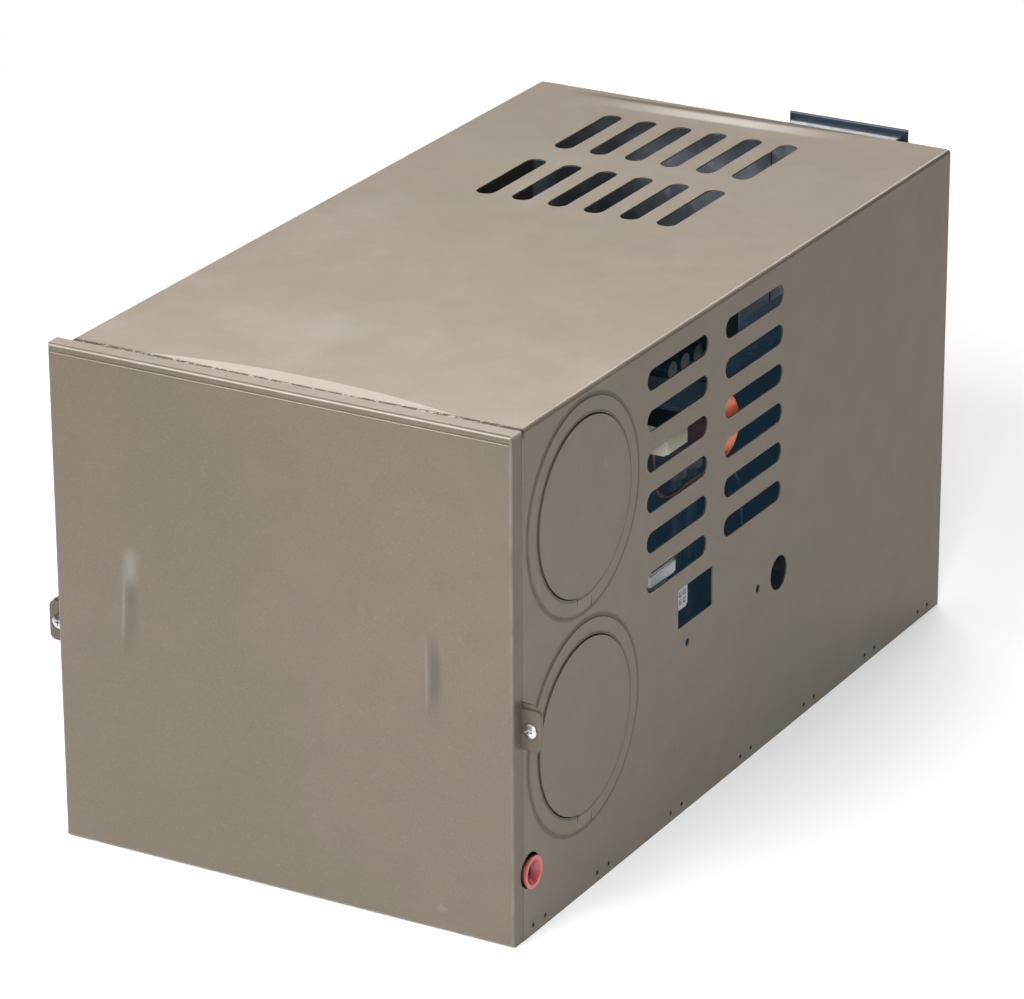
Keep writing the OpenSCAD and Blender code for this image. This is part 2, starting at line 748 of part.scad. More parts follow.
// Foot and height of the outlet duct
function scroll_low(wheel_r, gap) = shaft_z - wheel_r - gap[1];
function duct_h(wheel_r, gap) = (wheel_r + gap[1]) + (wheel_r + gap[0]) * sin(cutoff);
function spiral(wheel_r, gap, t) = [for (i = [0 : 40])
  let (turn = cutoff - i / 40 * (450 + cutoff), r = wheel_r + gap[0] + (gap[1] - gap[0]) * i / 40 - t)
  [r * cos(turn), r * sin(turn)]];

module scroll_outline(wheel_r, gap, reach, t) {
  foot = -(wheel_r + gap[1]) + t;
  roof = (wheel_r + gap[0]) * sin(cutoff) - t;
  polygon(concat(spiral(wheel_r, gap, t), [[-reach, foot], [-reach, roof],
    [(wheel_r + gap[0]) * cos(cutoff), roof]]));
}

// Hollow casing between x0 and x1, with an eye on each side
module scroll_casing(wheel_r, gap, x0, x1, outlet_d, eye_low, eye_high) {
  wall = 1.2;
  reach = shaft_d - outlet_d;
  difference() {
    translate([x0, y_at(shaft_d), shaft_z]) rotate([90, 0, 90]) linear_extrude(x1 - x0)
      scroll_outline(wheel_r, gap, reach, 0);
    translate([x0 + wall, y_at(shaft_d), shaft_z]) rotate([90, 0, 90])
      linear_extrude(x1 - x0 - 2 * wall) scroll_outline(wheel_r, gap, reach + 1, wall);
    bar_x(x0 - 1, x0 + 2, shaft_d, shaft_z, eye_low);
    bar_x(x1 - 2, x1 + 1, shaft_d, shaft_z, eye_high);
  }
}

eye_r = 54;

// A casing's side plate carried down to a turned foot on the base
module casing_leg(x, scroll_z) {
  leg_t = 1.2;
  leg_d = [shaft_d - 30, shaft_d + 30];
  block([x, leg_d[0], sheet_t], [x + leg_t, leg_d[1], scroll_z + 8]);
  block([x, leg_d[0], sheet_t], [x + 12, leg_d[1], sheet_t + leg_t]);
}

module blower_housing() {
  color(galvanised) {
    scroll_casing(room_wheel_r, room_gap, room_x[0], room_x[1], bulkhead_d + sheet_t, eye_r + 3, 8);
    casing_leg(room_x[0], scroll_low(room_wheel_r, room_gap));
  }
}

module inlet_ring() {
  color(galvanised) translate([room_x[0], y_at(shaft_d), shaft_z]) rotate([0, 90, 0])
    rotate_extrude($fn = 96) {
      translate([eye_r + 1, -1.2]) square([10, 1.2]);
      // Rolled mouth that leads the air into the wheel
      intersection() {
        translate([eye_r + 1, -1.2]) difference() {
          translate([0, 6]) circle(r = 6, $fn = 48);
          translate([0, 6]) circle(r = 4.8, $fn = 48);
        }
        translate([eye_r - 6, -1.2]) square([7, 6]);
      }
    }
}

// One curved blade, seen along the shaft: a strip of sheet that bends through an arc from
// r_in to r_out, its outer edge turned by lean degrees
function blade_line(r_in, r_out, lean, off) = [for (i = [0 : 6])
  let (t = i / 6, r = r_in + (r_out - r_in) * t, turn = lean * t * t + off / r * 57.3)
  [r * cos(turn), r * sin(turn)]];
function reversed(list) = [for (i = [len(list) - 1 : -1 : 0]) list[i]];

module blade(r_in, r_out, lean, thick) {
  polygon(concat(blade_line(r_in, r_out, lean, 0), reversed(blade_line(r_in, r_out, lean, thick))));
}

module wheel(x0, x1, wheel_r, blades, blade_in, lean, ring) {
  plate_t = 1.2;
  translate([x0, y_at(shaft_d), shaft_z]) rotate([0, 90, 0]) difference() {
    union() {
      for (i = [0 : blades - 1]) rotate(i * 360 / blades)
        linear_extrude(x1 - x0) blade(blade_in, wheel_r - 0.3, lean, 0.9);
      // Back plate, hub and the ring that ties the blades' free ends
      translate([0, 0, x1 - x0 - plate_t]) cylinder(r = wheel_r, h = plate_t, $fn = 96);
      translate([0, 0, x1 - x0 - 14]) cylinder(r = 10, h = 14, $fn = 48);
      difference() {
        cylinder(r = wheel_r, h = plate_t, $fn = 96);
        translate([0, 0, -1]) cylinder(r = ring, h = 4, $fn = 96);
      }
    }
    translate([0, 0, -1]) cylinder(r = shaft_r, h = x1 - x0 + 2, $fn = 32);
  }
}

module room_air_wheel() {
  middle = (room_x[0] + room_x[1]) / 2;
  color(galvanised) wheel(middle - room_wheel_w / 2, middle + room_wheel_w / 2, room_wheel_r,
    room_blades, room_wheel_r - 12, 9, room_wheel_r - 9);
}

module combustion_wheel() {
  middle = (comb_x[0] + comb_x[1]) / 2;
  color(galvanised) translate([2 * middle, 0, 0]) mirror([1, 0, 0])
    wheel(middle - comb_wheel_w / 2, middle + comb_wheel_w / 2, comb_wheel_r,
      comb_blades, comb_wheel_r - 26, -32, comb_wheel_r - 10);
}

inlet_box_x = 98;

module combustion_housing() {
  wall = 1.2;
  box_end_d = intake_start_d;
  back_d = shaft_d + comb_wheel_r + comb_gap[1] + 1;
  color(galvanised) {
    difference() {
      union() {
        scroll_casing(comb_wheel_r, comb_gap, comb_x[0], comb_x[1], burner_box_d[1], 8, 30);
        // Box that leads the intake air round to the wheel's eye
        difference() {
          union() {
            block([comb_x[1], shaft_d - 45, shaft_z - 45],
              [inlet_box_x, box_end_d, intake_z + tube_r + 4]);
            block([vent_x - tube_r - 4, back_d, intake_z - tube_r - 4],
              [inlet_box_x, box_end_d, intake_z + tube_r + 4]);
          }
          block([comb_x[1] + wall, shaft_d - 45 + wall, shaft_z - 45 + wall],
            [inlet_box_x - wall, box_end_d - wall, intake_z + tube_r + 4 - wall]);
          block([vent_x - tube_r - 4 + wall, back_d + wall, intake_z - tube_r - 4 + wall],
            [inlet_box_x - wall, box_end_d - wall, intake_z + tube_r + 4 - wall]);
          bar_x(comb_x[1] - 1, comb_x[1] + 3, shaft_d, shaft_z, 30);
        }
      }
      bar_d(box_end_d - 3, box_end_d + 1, vent_x, intake_z, tube_r - tube_t);
    }
    casing_leg(comb_x[0], scroll_low(comb_wheel_r, comb_gap));
  }
}

module motor() {
  bush_gap = 0.06;
  color(dark_steel) difference() {
    union() {
      bar_x(motor_x[0] + 5, motor_x[1] - 5, shaft_d, shaft_z, motor_r);
      // Pressed end caps with their bearing noses
      bar_x(motor_x[0] + 2, motor_x[1] - 2, shaft_d, shaft_z, motor_r - 3);
      bar_x(motor_x[0], motor_x[1], shaft_d, shaft_z, 9);
    }
    bar_x(motor_x[0] - 1, motor_x[1] + 1, shaft_d, shaft_z, shaft_r + bush_gap);
    for (a = [30 : 60 : 330]) bar_x(motor_x[1] - 5, motor_x[1], shaft_d + 24 * cos(a),
      shaft_z + 24 * sin(a), 3);
  }
}

module motor_bracket() {
  band_w = 26;
  color(galvanised) difference() {
    union() {
      bar_x(-band_w / 2 + 4, band_w / 2 + 4, shaft_d, shaft_z, motor_r + 1.5);
      // Post and foot
      block([-band_w / 2 + 4, shaft_d - 20, sheet_t], [-band_w / 2 + 5.5, shaft_d + 20, shaft_z - 20]);
      block([band_w / 2 + 2.5, shaft_d - 20, sheet_t], [band_w / 2 + 4, shaft_d + 20, shaft_z - 20]);
      block([-band_w / 2 + 4, shaft_d - 20, sheet_t], [band_w / 2 + 4, shaft_d + 20, sheet_t + 1.5]);
    }
    bar_x(-band_w, band_w + 8, shaft_d, shaft_z, motor_r);
  }
}

module motor_shaft() {
  color(zinc) bar_x(room_x[0] + 6, comb_x[1] - 4, shaft_d, shaft_z, shaft_r);
}

bracket_x = [103, 104.2];

module control_bracket() {
  back_d = 350;
  color(galvanised) difference() {
    union() {
      block([bracket_x[0], bulkhead_d + sheet_t, 148], [bracket_x[1], back_d, 302]);
      block([bracket_x[0], bulkhead_d + sheet_t, 148], [bracket_x[1] + 12, bulkhead_d + 2.2, 302]);
      block([bracket_x[0], bulkhead_d + sheet_t, 300.8], [bracket_x[1] + 12, back_d, 302]);
    }
    for (depth = [200, 320]) bar_x(bracket_x[0] - 1, bracket_x[1] + 1, depth, 190, 6);
  }
}

board_x = 110;

module module_board() {
  color([0.10, 0.36, 0.26]) {
    block([board_x, 172, 254], [board_x + 1.6, 332, 297]);
    for (depth = [178, 326], z = [260, 291]) bar_x(bracket_x[1], board_x, depth, z, 2.5);
  }
  color([0.12, 0.12, 0.12]) {
    block([board_x + 1.6, 196, 262], [board_x + 5, 222, 278]);
    block([board_x + 1.6, 300, 262], [board_x + 16, 322, 286]);
  }
  color(white_plastic) block([board_x + 1.6, 236, 284], [board_x + 12, 286, 293]);
  color([0.15, 0.25, 0.5]) for (depth = [240, 256, 272])
    bar_x(board_x + 1.6, board_x + 15, depth, 266, 5.5);
}

module relay() {
  relay_d = [205.5, 232];
  relay_z = [226, 244];
  color([0.86, 0.82, 0.72]) {
    block([bracket_x[1], relay_d[0], relay_z[0]], [138, relay_d[1], relay_z[1]]);
    block([138, relay_d[0] + 1, relay_z[0] + 1], [140, relay_d[1] - 1, relay_z[1] - 1]);
  }
  color(brass) for (depth = [208, 217, 226])
    block([116, depth, relay_z[0] - 5], [122, depth + 1, relay_z[0]]);
}

// A dark body with a white marker strip on its outer face
module terminal_block() {
  block_d = [184, 219];
  block_z = [147.8, 157.5];
  color([0.14, 0.14, 0.15]) difference() {
    block([bracket_x[1], block_d[0], block_z[0]], [138, block_d[1], block_z[1]]);
    for (i = [0 : 2]) block([126, block_d[0] + 2.5 + i * 11, 151], [136, block_d[0] + 10.5 + i * 11, 158]);
  }
  color(white_plastic) block([138, block_d[0] + 2, 150.2], [140, block_d[1] - 2, 156.8]);
}

module limit_switch() {
  color([0.14, 0.14, 0.15]) bar_d(bulkhead_d - 6, bulkhead_d + 14, 0, 200, 8);
  color(zinc) difference() {
    block([-16, bulkhead_d + sheet_t, 191], [16, bulkhead_d + 2.2, 209]);
    bar_d(bulkhead_d, bulkhead_d + 4, 0, 200, 8);
  }
}

paddle_pivot_d = 150;
paddle_pivot_z = 97;

module sail_switch() {
  color([0.13, 0.13, 0.14]) difference() {
    union() {
      block([-96, bulkhead_d - 6, paddle_pivot_z + 5], [-62, bulkhead_d, paddle_pivot_z + 22]);
      for (x = [-98, -64]) block([x, paddle_pivot_d - 4, paddle_pivot_z - 4],
        [x + 4, bulkhead_d, paddle_pivot_z + 22]);
    }
    bar_x(-101, -57, paddle_pivot_d, paddle_pivot_z, 1.55);
  }
}

module sail_paddle() {
  color(galvanised) {
    bar_x(-99, -59, paddle_pivot_d, paddle_pivot_z, 1.5);
    difference() {
      block([-92, paddle_pivot_d - 0.4, paddle_pivot_z - 46], [-66, paddle_pivot_d + 0.4, paddle_pivot_z]);
      for (z = [-36, -22]) bar_d(paddle_pivot_d - 1, paddle_pivot_d + 1, -79, paddle_pivot_z + z, 3);
    }
  }
}

breaker_d = 306;
breaker_z = 214;

module circuit_breaker() {
  color([0.12, 0.12, 0.13]) difference() {
    union() {
      block([bracket_x[1], breaker_d - 12, breaker_z - 16], [128, breaker_d + 12, breaker_z + 16]);
      bar_x(128, 133, breaker_d, breaker_z, 6);
    }
    bar_x(118, 134, breaker_d, breaker_z, 3.4);
  }
}

module breaker_button() {
  color([0.85, 0.85, 0.85]) bar_x(124, 136, breaker_d, breaker_z, 3);
}

module wiring_connector() {
  color(white_plastic) difference() {
    union() {
      block([130, window_d[0], window_z[1] - 12], [half_w - 0.3, window_d[0] + 12, window_z[1]]);
      block([inner_x - 1.5, window_d[0] - 4, window_z[1] - 14],
        [inner_x, window_d[0] + 12, window_z[1] + 3]);
    }
    for (dx = [1.6, 6.6], dz = [-10.4, -5.4]) block([half_w - 9, window_d[0] + dx, window_z[1] + dz],
      [half_w + 1, window_d[0] + dx + 3.8, window_z[1] + dz + 3.8]);
  }
}

// Leads: a smooth curve through a few chosen points, swept as a tube
function curve_at(p, i, t) =
  let (a = p[max(i - 1, 0)], b = p[i], c = p[i + 1], d = p[min(i + 2, len(p) - 1)])
  0.5 * (2 * b + (c - a) * t + (2 * a - 5 * b + 4 * c - d) * t * t
    + (3 * b - a - 3 * c + d) * t * t * t);
function curve(p, steps) = [for (i = [0 : len(p) - 2], k = [0 : steps - 1]) curve_at(p, i, k / steps),
  p[len(p) - 1]];
function unit(v) = v / norm(v);

module lead(points, r) {
  sides = 8;
  path = curve([for (p = points) [p[0], y_at(p[1]), p[2]]], 4);
  n = len(path);
  rings = [for (i = [0 : n - 1])
    let (along = unit(path[min(i + 1, n - 1)] - path[max(i - 1, 0)]),
      across = unit(cross(along, [0.31, 0.17, 0.94])), other = cross(along, across))
    for (k = [0 : sides - 1]) path[i] + r * (cos(k * 360 / sides) * across
      + sin(k * 360 / sides) * other)];
  walls = [for (i = [0 : n - 2], k = [0 : sides - 1], half = [0, 1])
    let (a = i * sides + k, b = i * sides + (k + 1) % sides)
    half == 0 ? [a, a + sides, b] : [b, a + sides, b + sides]];
  ends = [[for (k = [0 : sides - 1]) k],
    [for (k = [sides - 1 : -1 : 0]) (n - 1) * sides + k]];
  polyhedron(rings, concat(walls, ends));
}

module orange_wires() {
  color([0.85, 0.45, 0.15]) {
    // Relay to the valve's coil
    lead([[130, 229, 226.3], [132, 230, 220], [135, 236, 213], [138.5, 242, 214],
      [139.5, 247.4, 216.5]], 1.2);
    // Relay to the breaker
    lead([[130, 207, 226.3], [130.5, 207, 214], [130.5, 211, 200.7], [130.5, 224, 192.7],
      [128, 255, 190], [127, 287, 190], [121, 303, 198.3]], 1.2);
  }
}

module blue_wires() {
  color([0.12, 0.32, 0.50]) {
    // Breaker to the terminal block
    lead([[122, 309, 198.3], [126, 311, 186], [127.5, 315, 176], [127.5, 322, 167], [127, 327, 150],
      [127, 324, 131], [127.5, 290, 126], [127.5, 245, 134], [121, 226, 144], [118, 218.7, 152.5]], 1.2);
    // Terminal block to the wall socket
    lead([[127, 206, 148.1], [126, 206, 144], [127, 204.5, 141], [130.4, 203, 141]], 1.2);
  }
}

cabinet_wrap();
base_pan();
rear_panel();
front_panel();
cabinet_ears();
panel_screws();
base_rivets();
bulkhead();
vent_collar();
collar_screws();
exhaust_tube();
intake_tube();
heat_exchanger_front();
heat_exchanger_rear();
burner();
burner_box();
electrode();
gas_orifice();
gas_manifold();
gas_valve();
solenoid_coils();
gas_pipe();
inlet_fitting();
inlet_cap();
blower_housing();
inlet_ring();
room_air_wheel();
combustion_housing();
combustion_wheel();
motor();
motor_bracket();
motor_shaft();
control_bracket();
module_board();
relay();
terminal_block();
limit_switch();
sail_switch();
sail_paddle();
circuit_breaker();
breaker_button();
wiring_connector();
orange_wires();
blue_wires();
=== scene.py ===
import bmesh
import bpy
from mathutils import Matrix, Vector


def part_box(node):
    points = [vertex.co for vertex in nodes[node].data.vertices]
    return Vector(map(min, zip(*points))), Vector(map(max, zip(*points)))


# The furnace as it was packed, with its box noted before anything is added.
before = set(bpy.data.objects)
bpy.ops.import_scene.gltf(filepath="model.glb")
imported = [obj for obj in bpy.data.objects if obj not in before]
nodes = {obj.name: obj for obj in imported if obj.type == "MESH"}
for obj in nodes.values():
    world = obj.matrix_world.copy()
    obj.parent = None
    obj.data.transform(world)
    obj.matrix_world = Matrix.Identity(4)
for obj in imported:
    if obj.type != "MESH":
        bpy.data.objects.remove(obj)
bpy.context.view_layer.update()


# ---------------------------------------------------------------------------
# Camera: stands in front of the panel's right-hand corner and looks down on the furnace,
# far off, with a long lens.
camera_at = Vector((1.4587, -2.5927, 1.3614))
camera_right = Vector((0.870232, 0.492620, -0.004718))
camera_up = Vector((-0.183414, 0.332867, 0.924964))
lens = bpy.data.cameras.new("long_lens")
lens.sensor_fit = "HORIZONTAL"
lens.sensor_width = 36.0
lens.lens = 183.71
lens.clip_end = 60
camera = bpy.data.objects.new("camera", lens)
bpy.context.scene.collection.objects.link(camera)
turn = Matrix((camera_right, camera_up, camera_right.cross(camera_up))).transposed()
camera.matrix_world = Matrix.Translation(camera_at) @ turn.to_4x4()
bpy.context.scene.camera = camera


# ---------------------------------------------------------------------------
# Studio: a pale floor under soft lights. One hangs over the seam between panel and top, one
# stands off the near corner and a weak one off the slotted side, and two strips behind the
# furnace light the top sheet at a low angle and draw the bright lines of its bends.
def soft_light(name, at, towards, width, height, watts, tint):
    light = bpy.data.lights.new(name, "AREA")
    light.shape = "RECTANGLE"
    light.size, light.size_y = width, height
    light.energy = watts
    light.color = tint
    made = bpy.data.objects.new(name, light)
    bpy.context.scene.collection.objects.link(made)
    made.location = at
    made.rotation_euler = (Vector(towards) - Vector(at)).to_track_quat("-Z", "Y").to_euler()


middle = (0, 0, 0.15)
soft_light("near_corner", (0.8, -1.3, 0.8), middle, 0.5, 0.6, 20.5, (0.91, 0.96, 1.0))
soft_light("slot_side", (1.9, 1.1, 0.6), middle, 0.8, 0.6, 2.5, (0.99, 0.99, 0.94))
soft_light("over_seam", (-0.25, -0.75, 1.0), (-0.05, -0.2, 0.3), 0.8, 0.3, 18.5, (0.92, 0.93, 1.0))
soft_light("rear_strip", (-1.05, 2.7, 1.95), middle, 2.9, 0.5, 62, (1.0, 0.935, 0.87))
soft_light("bend_line", (1.35, 2.7, 1.7), middle, 0.5, 0.4, 6, (1.0, 0.95, 0.93))

sky = bpy.data.worlds.new("studio_air")
sky.use_nodes = True
sky.node_tree.nodes["Background"].inputs["Color"].default_value = (1.0, 0.96, 0.94, 1)
sky.node_tree.nodes["Background"].inputs["Strength"].default_value = 0.05
bpy.context.scene.world = sky


class Wire:
    """A socket's value. Arithmetic on it adds Math nodes to the finish it belongs to."""

    def __init__(self, finish, socket):
        self.finish, self.socket = finish, socket

    def math(self, operation, *values):
        return self.finish.node("ShaderNodeMath", {"operation": operation}, dict(enumerate(values)))

    def __add__(self, other):
        return self.math("ADD", self, other)

    def __sub__(self, other):
        return self.math("SUBTRACT", self, other)

    def __rsub__(self, other):
        return self.math("SUBTRACT", other, self)

    def __mul__(self, other):
        return self.math("MULTIPLY", self, other)

    def __pow__(self, other):
        return self.math("POWER", self, other)

    def __neg__(self):
        return self.math("MULTIPLY", self, -1.0)

    def __abs__(self):
        return self.math("ABSOLUTE", self)

    def least(self, other):
        return self.math("MINIMUM", self, other)

    def most(self, other):
        return self.math("MAXIMUM", self, other)

    __radd__ = __add__
    __rmul__ = __mul__


class Finish:
    """A surface finish: one material, built up from nodes around its main shader."""

    def __init__(self, name, **shader):
        self.material = bpy.data.materials.new(name)
        self.material.use_nodes = True
        self.tree = self.material.node_tree
        self.shader = self.tree.nodes["Principled BSDF"]
        self.set(**shader)
        self.at = self.node("ShaderNodeTexCoord", out="Object")

    def set(self, **shader):
        for socket, value in shader.items():
            self.put(self.shader, socket.replace("_", " "), value)

    def put(self, node, socket, value):
        if isinstance(value, Wire):
            self.tree.links.new(value.socket, node.inputs[socket])
        elif value is not None:
            if isinstance(value, tuple) and node.inputs[socket].type == "RGBA":
                value = (*value, 1)[:4]
            node.inputs[socket].default_value = value

    def node(self, kind, settings=None, sockets=None, out=0):
        made = self.tree.nodes.new(kind)
        for name, value in (settings or {}).items():
            if name == "stops":
                ramp = made.color_ramp.elements
                while len(ramp) < len(value):
                    ramp.new(0.5)
                for stop, (place, colour) in zip(ramp, value):
                    stop.position, stop.color = place, (*colour, 1)
            else:
                setattr(made, name, value)
        for socket, value in (sockets or {}).items():
            self.put(made, socket, value)
        return Wire(self, made.outputs[out])

    def axes(self, source=None):
        split = self.node("ShaderNodeSeparateXYZ", sockets={0: source or self.at})
        node = split.socket.node
        return [Wire(self, node.outputs[i]) for i in range(3)]

    def noise(self, scale, detail=3.0, rough=0.55, at=None):
        return self.node("ShaderNodeTexNoise", sockets={"Vector": at or self.at, "Scale": scale,
                         "Detail": detail, "Roughness": rough})

    def cells(self, scale, feature="F1", out="Distance"):
        return self.node("ShaderNodeTexVoronoi", {"feature": feature},
                         {"Vector": self.at, "Scale": scale}, out)

    def stretched(self, size):
        return self.node("ShaderNodeMapping", sockets={"Vector": self.at, "Scale": size})

    def steps(self, value, low, high):
        """0 below low, 1 above high, and a smooth rise between them."""
        return self.node("ShaderNodeMapRange", {"interpolation_type": "SMOOTHSTEP"},
                         {"Value": value, "From Min": low, "From Max": high})

    def mixed(self, amount, first, second):
        return self.node("ShaderNodeMix", {"data_type": "RGBA"},
                         {"Factor": amount, 6: first, 7: second}, 2)

    def bump(self, height, depth, under=None):
        """A bump of that height in metres where height goes from 0 to 1."""
        return self.node("ShaderNodeBump", sockets={"Height": height, "Distance": depth,
                         "Strength": 1.0, "Normal": under})


# The floor board is lit a little from behind, as a light table is
floor_half = 14
floor_finish = Finish("floor_board")
floor_finish.set(
    Emission_Color=(1.0, 1.0, 1.0), Emission_Strength=0.26,
    Base_Color=floor_finish.mixed(floor_finish.noise(3.0), (0.93, 0.93, 0.93), (0.95, 0.95, 0.95)),
    Roughness=0.7)
floor_mesh = bmesh.new()
bmesh.ops.create_grid(floor_mesh, x_segments=1, y_segments=1, size=floor_half)
floor = bpy.data.objects.new("floor", bpy.data.meshes.new("floor"))
floor_mesh.to_mesh(floor.data)
floor_mesh.free()
floor.data.materials.append(floor_finish.material)
bpy.context.scene.collection.objects.link(floor)
bpy.context.scene.view_settings.view_transform = "Standard"


# ---------------------------------------------------------------------------
# Cabinet wrap: one sheet of pre-painted steel, bent over the top and both sides, with
# punched slots. The paint is a taupe metallic with a fine orange peel, and the sheet
# is never quite flat, so its gloss wanders.
taupe = (0.113, 0.090, 0.058)
taupe_warm = (0.126, 0.096, 0.066)
taupe_dull = (0.096, 0.078, 0.051)
taupe_pale = (0.20, 0.18, 0.145)
# The paint in painted shade, and bare metal, which painted highlights take as well
taupe_painted_shade = (0.026, 0.021, 0.020)
bare_metal_and_highlight = (0.34, 0.33, 0.31)


def wear(node_name, finish):
    nodes[node_name].data.materials.clear()
    nodes[node_name].data.materials.append(finish.material)


def painted(name, node_name, wave, marks, pan=None):
    """The paint of one piece. marks gives a height in mm, and how much painted shade and painted
    highlight it has.

    pan is half the width of a pan, which is bent round its face as well and may have ears.
    """
    paint = Finish(name, Coat_Roughness=0.16)
    x, y, z = paint.axes()
    cloud = paint.noise(4.5, 2.0)
    mottle = paint.noise(38.0, 4.0, 0.62)
    grain = paint.noise(900.0, 2.0)
    tone = paint.mixed(paint.steps(cloud, 0.38, 0.62), taupe, taupe_warm)
    tone = paint.mixed(paint.steps(mottle, 0.30, 0.75) * 0.30, tone, taupe_dull)
    tone = paint.mixed(paint.steps(grain, 0.52, 0.80) * 0.25, tone, taupe_pale)
    # Scuffs: thin short scratches that catch the light here and there
    scratch = paint.noise(1.0, 2.0, 0.5, paint.stretched((30.0, 420.0, 60.0)))
    where = paint.steps(paint.noise(9.0, 2.0), 0.60, 0.72)
    scuff = paint.steps(scratch, 0.68, 0.76) * where
    tone = paint.mixed(scuff * 0.35, tone, taupe_pale)
    # The marks' painted shade darkens the paint, and their painted highlight lightens it towards bare
    # metal
    height, dark, pale = marks(paint, x, y, z)
    tone = paint.mixed(pale, paint.mixed(dark, tone, taupe_painted_shade), bare_metal_and_highlight)
    # Painted shade dulls the gloss, and painted highlight raises the coat
    paint.set(Metallic=0.40 - 0.34 * dark, Coat_Weight=0.20 - 0.17 * dark + 0.5 * pale)
    # Bends: the paint is rubbed to the metal along their middles, and this pale line is also a painted
    # highlight
    low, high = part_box(node_name)
    half, centre = pan or (high.x - low.x) / 2, (high.x + low.x) / 2
    from_side = (half - abs(x - centre)).most(0.0)
    from_top = (high.z - z).most(0.0)
    from_face = (y - low.y).most(0.0)
    bend = from_side + from_top
    if pan:
        bend = bend.least(from_side + from_face).least(from_top + from_face)
    rub_and_highlight = paint.steps(bend + 0.0009 * paint.noise(70.0, 3.0), 0.0024, 0.0013)
    paint.set(Base_Color=paint.mixed(rub_and_highlight * 0.35, tone, bare_metal_and_highlight),
              Roughness=0.40 + 0.08 * mottle + 0.05 * cloud - 0.05 * scuff + 0.12 * rub_and_highlight + 0.45 * dark)
    peel = paint.bump(paint.noise(1500.0, 1.0), 0.00001)
    waves = paint.bump(paint.noise(wave, 1.0, 0.4), 0.0012, peel)
    paint.set(Normal=paint.bump(height, 0.001, waves))
    return paint


# The raised band runs across the top before its rear edge, a little askew, with a painted highlight
# along it
band_y, band_skew, band_rise = 0.2505, 0.045, 1.5
# The pressed rings round the knock-outs: their middles, and each edge's radius and the width of its
# painted shade
ring_y, ring_heights = -0.2142, (0.2423, 0.1068)
ring_edges = ((0.0546, 0.0015), (0.0650, 0.0022))
# The seam's line lies on the top sheet just behind the panel's lip
seam_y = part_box("cabinet_wrap")[0].y + 0.0105


def wrap_marks(paint, x, y, z):
    """A rise with a painted highlight before the rear edge, painted shade at the rings and seam, pale
    patches on top.
    """
    on_top = paint.steps(z, 0.305, 0.310)
    on_sides = paint.steps(abs(x), 0.140, 0.145)
    behind = y - band_y - band_skew * x
    rise = paint.steps(behind, -0.009, 0.007) * paint.steps(behind, 0.014, 0.008)
    crease = rise * paint.steps(abs(x), 0.130, 0.03) * on_top
    # A painted highlight along the rise
    streak = paint.steps(abs(behind), 0.0090, 0.0030) * paint.steps(abs(x), 0.090, 0.005) * on_top
    # Pale patches, on the top only
    cloudy = paint.steps(paint.noise(13.0, 5.0, 0.6), 0.50, 0.75) * on_top
    broken = paint.noise(330.0, 2.0)
    # A broken line of painted shadow in the gap behind the panel's lip
    seam = paint.steps(abs(y - seam_y), 0.0019, 0.0012) * on_top * paint.steps(broken, 0.40, 0.47)
    ring = 0.0
    for ring_z in ring_heights:
        far = ((y - ring_y) * (y - ring_y) + (z - ring_z) * (z - ring_z)) ** 0.5
        for radius, wide in ring_edges:
            ring = ring + paint.steps(abs(far - radius), wide, wide * 0.3)
    # Painted shade along the rings' pressed steps, uneven along them
    painted_shade = (ring * on_sides).least(1.0) * (0.30 + 0.35 * broken)
    return crease * band_rise, painted_shade.most(seam * 0.9), streak * 0.90 + cloudy * 0.10


wrap_finish = painted("painted_wrap", "cabinet_wrap", 7.0, wrap_marks)
wear("cabinet_wrap", wrap_finish)
wear("cabinet_ears", wrap_finish)


# ---------------------------------------------------------------------------
# Front panel: a shallow pan of the same sheet, bent at its four edges, with two ears. Its
# bends are rubbed where it has been pulled off and put back, and carry a painted highlight too.
pan_half = 0.1525
# Each dent's place, lean, half height and the width of its painted highlight, and how much
# painted shade and painted highlight it has. The first two make up the left one
dents = ((-0.1065, 0.155, 0.06, 0.032, 0.0016, 0.20, 0.12),
         (-0.1005, 0.183, 0.05, 0.016, 0.0080, 0.0, 0.20),
         (0.0965, 0.160, 0.0, 0.032, 0.0014, 0.38, 0.10))
dent_depth = 0.5


def press_marks(paint, x, y, z):
    """Two upright dents with a steep left wall, painted shade and highlight, and painted shade on the
    pan's sides and ears.
    """
    face_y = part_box("front_panel")[0].y
    on_face = paint.steps(y, face_y + 0.006, face_y + 0.0015)
    depth, dark, pale = 0.0, 0.0, 0.0
    for at_x, at_z, lean, half_tall, wide, shade, shine in dents:
        across = x - at_x - lean * (z - at_z)
        along = paint.steps(abs(z - at_z), half_tall, half_tall * 0.2)
        wall = paint.steps(across, -0.0022, 0.0012) * paint.steps(across, 0.0095, 0.0012)
        depth = depth + dent_depth * along * wall
        # Painted highlight along the dent's left edge, and painted shade within it
        pale = pale + shine * along * paint.steps(abs(across), wide, 0.0)
        dark = dark + shade * along * paint.steps(abs(across - 0.0052), 0.0056, 0.0012)
    # Painted shade on the pan's side bends and on the ears
    pan_side = paint.steps(abs(x), pan_half - 0.0013, pan_half - 0.0005)
    ear = paint.steps(abs(x), pan_half + 0.0006, pan_half + 0.0012)
    painted_shade = ear * 0.10 + pan_side * 0.20
    return -depth * on_face, (dark * on_face).most(painted_shade), pale * on_face


wear("front_panel", painted("painted_panel", "front_panel", 9.0, press_marks, pan_half))


